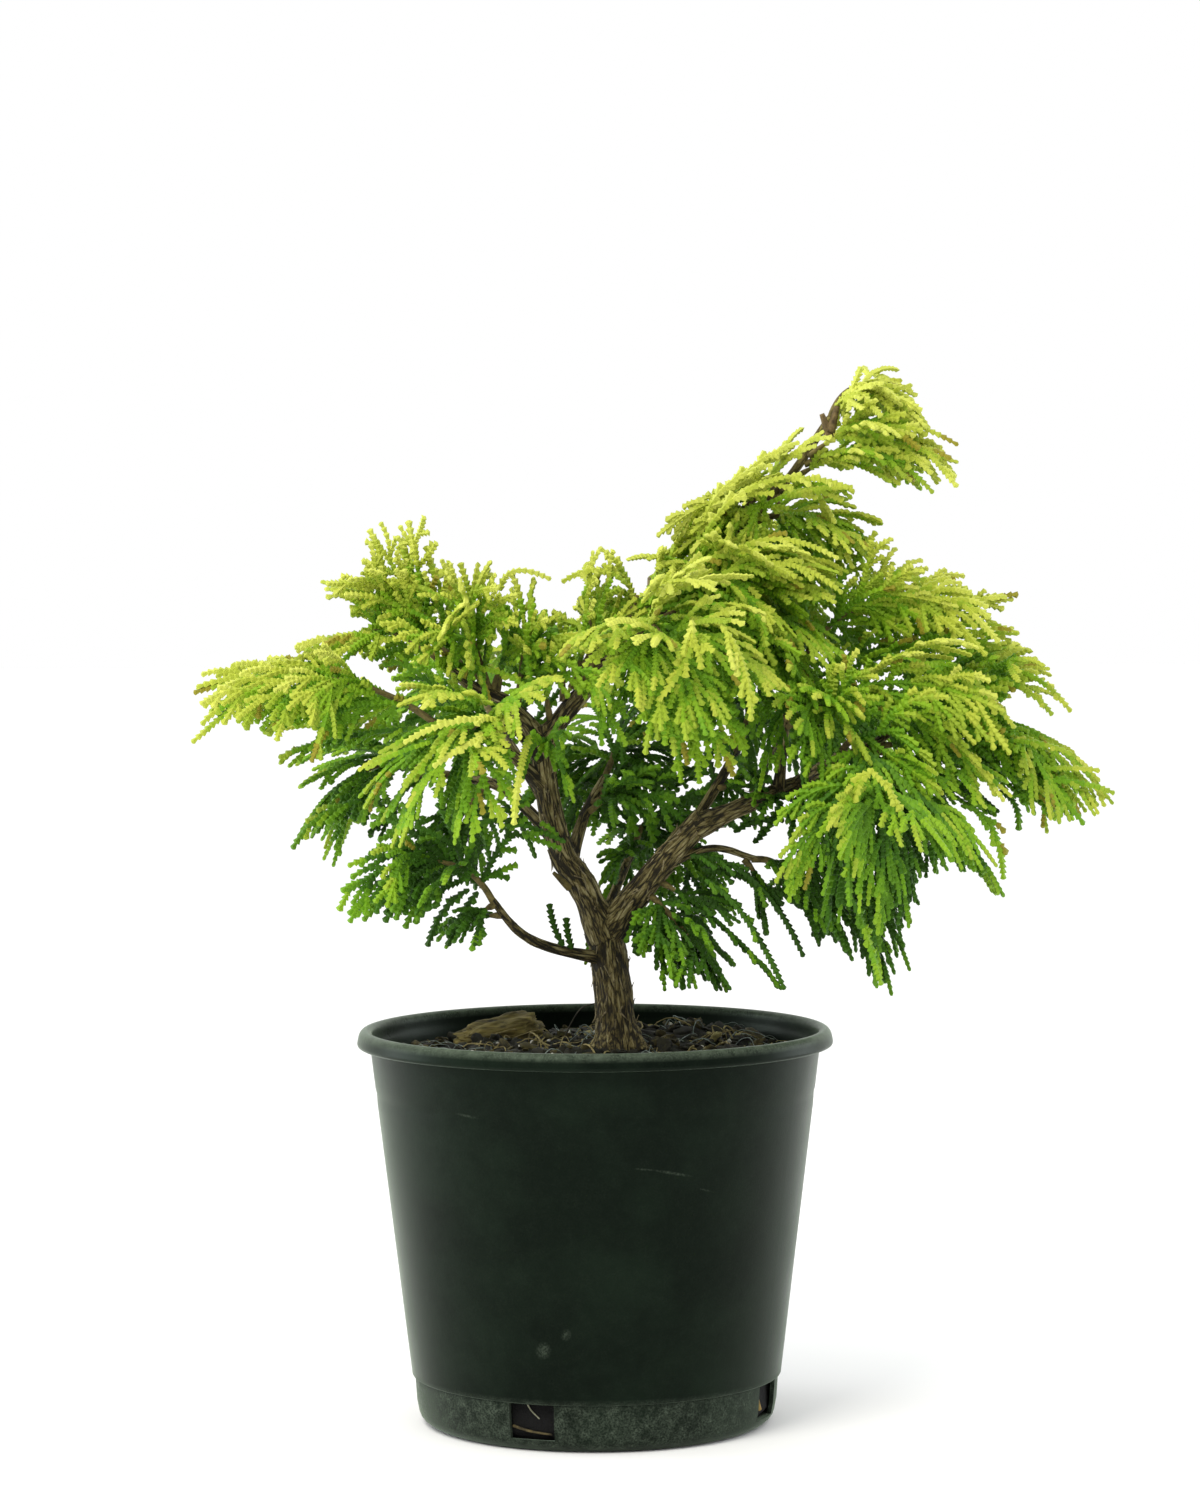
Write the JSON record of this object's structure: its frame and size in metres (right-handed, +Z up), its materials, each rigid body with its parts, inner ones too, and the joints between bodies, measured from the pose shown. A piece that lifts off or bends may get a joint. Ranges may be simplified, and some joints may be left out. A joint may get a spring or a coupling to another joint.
{
  "type": "dwarf conifer in a nursery pot",
  "caption": "Dwarf hinoki cypress with flat fan sprays on a low forked trunk, rooted in a filled plastic nursery pot.",
  "frame": {"origin": "centre of the pot's flat underside", "axes": "+Z up, +X to the viewer's right and +Y away from the viewer, seen from the side of the picture"},
  "size_m": [0.3258, 0.2208, 0.3808],
  "materials": {
    "pot": "moulded, scuffed and dusty",
    "soil": "damp bark compost",
    "bark": "fibrous, matt",
    "gold_foliage": "satin scale leaves",
    "green_foliage": "satin scale leaves"
  },
  "bodies": {
    "root": {"pot": "pot", "soil": "soil", "trunk": "bark", "left_stem": "bark", "right_stem": "bark", "leader": "bark", "left_upper": "bark", "left_far": "bark", "left_mid": "bark", "left_low": "bark", "mid_back": "bark", "centre_back": "bark", "right_main": "bark", "right_upper": "bark", "right_riser": "bark", "right_low": "bark", "right_front": "bark", "right_back": "bark", "left_back": "bark", "left_front": "bark", "crown_back": "bark", "crown_front": "bark", "tip_shoot": "gold_foliage", "tip_fan": "gold_foliage", "leader_right": "gold_foliage", "leader_left": "gold_foliage", "leader_front": "gold_foliage", "leader_low_right": "gold_foliage", "leader_back": "gold_foliage", "crest_left": "gold_foliage", "crest_back": "gold_foliage", "centre_front": "gold_foliage", "right_front_high": "gold_foliage", "right_crest": "gold_foliage", "right_shoulder": "gold_foliage", "right_far": "gold_foliage", "right_hang": "green_foliage", "right_low_hang": "green_foliage", "right_foot": "green_foliage", "right_under": "green_foliage", "low_fan": "green_foliage", "left_crest": "gold_foliage", "left_top": "gold_foliage", "left_inner_crest": "gold_foliage", "left_gold": "gold_foliage", "left_far_spray": "gold_foliage", "left_mid_spray": "green_foliage", "left_front_spray": "gold_foliage", "left_low_spray": "green_foliage", "left_under": "green_foliage", "mid_spray": "green_foliage", "low_back": "green_foliage", "inner_spray": "green_foliage", "left_back_spray": "green_foliage", "right_back_spray": "green_foliage", "crown_back_spray": "gold_foliage"}
  },
  "joints": []
}
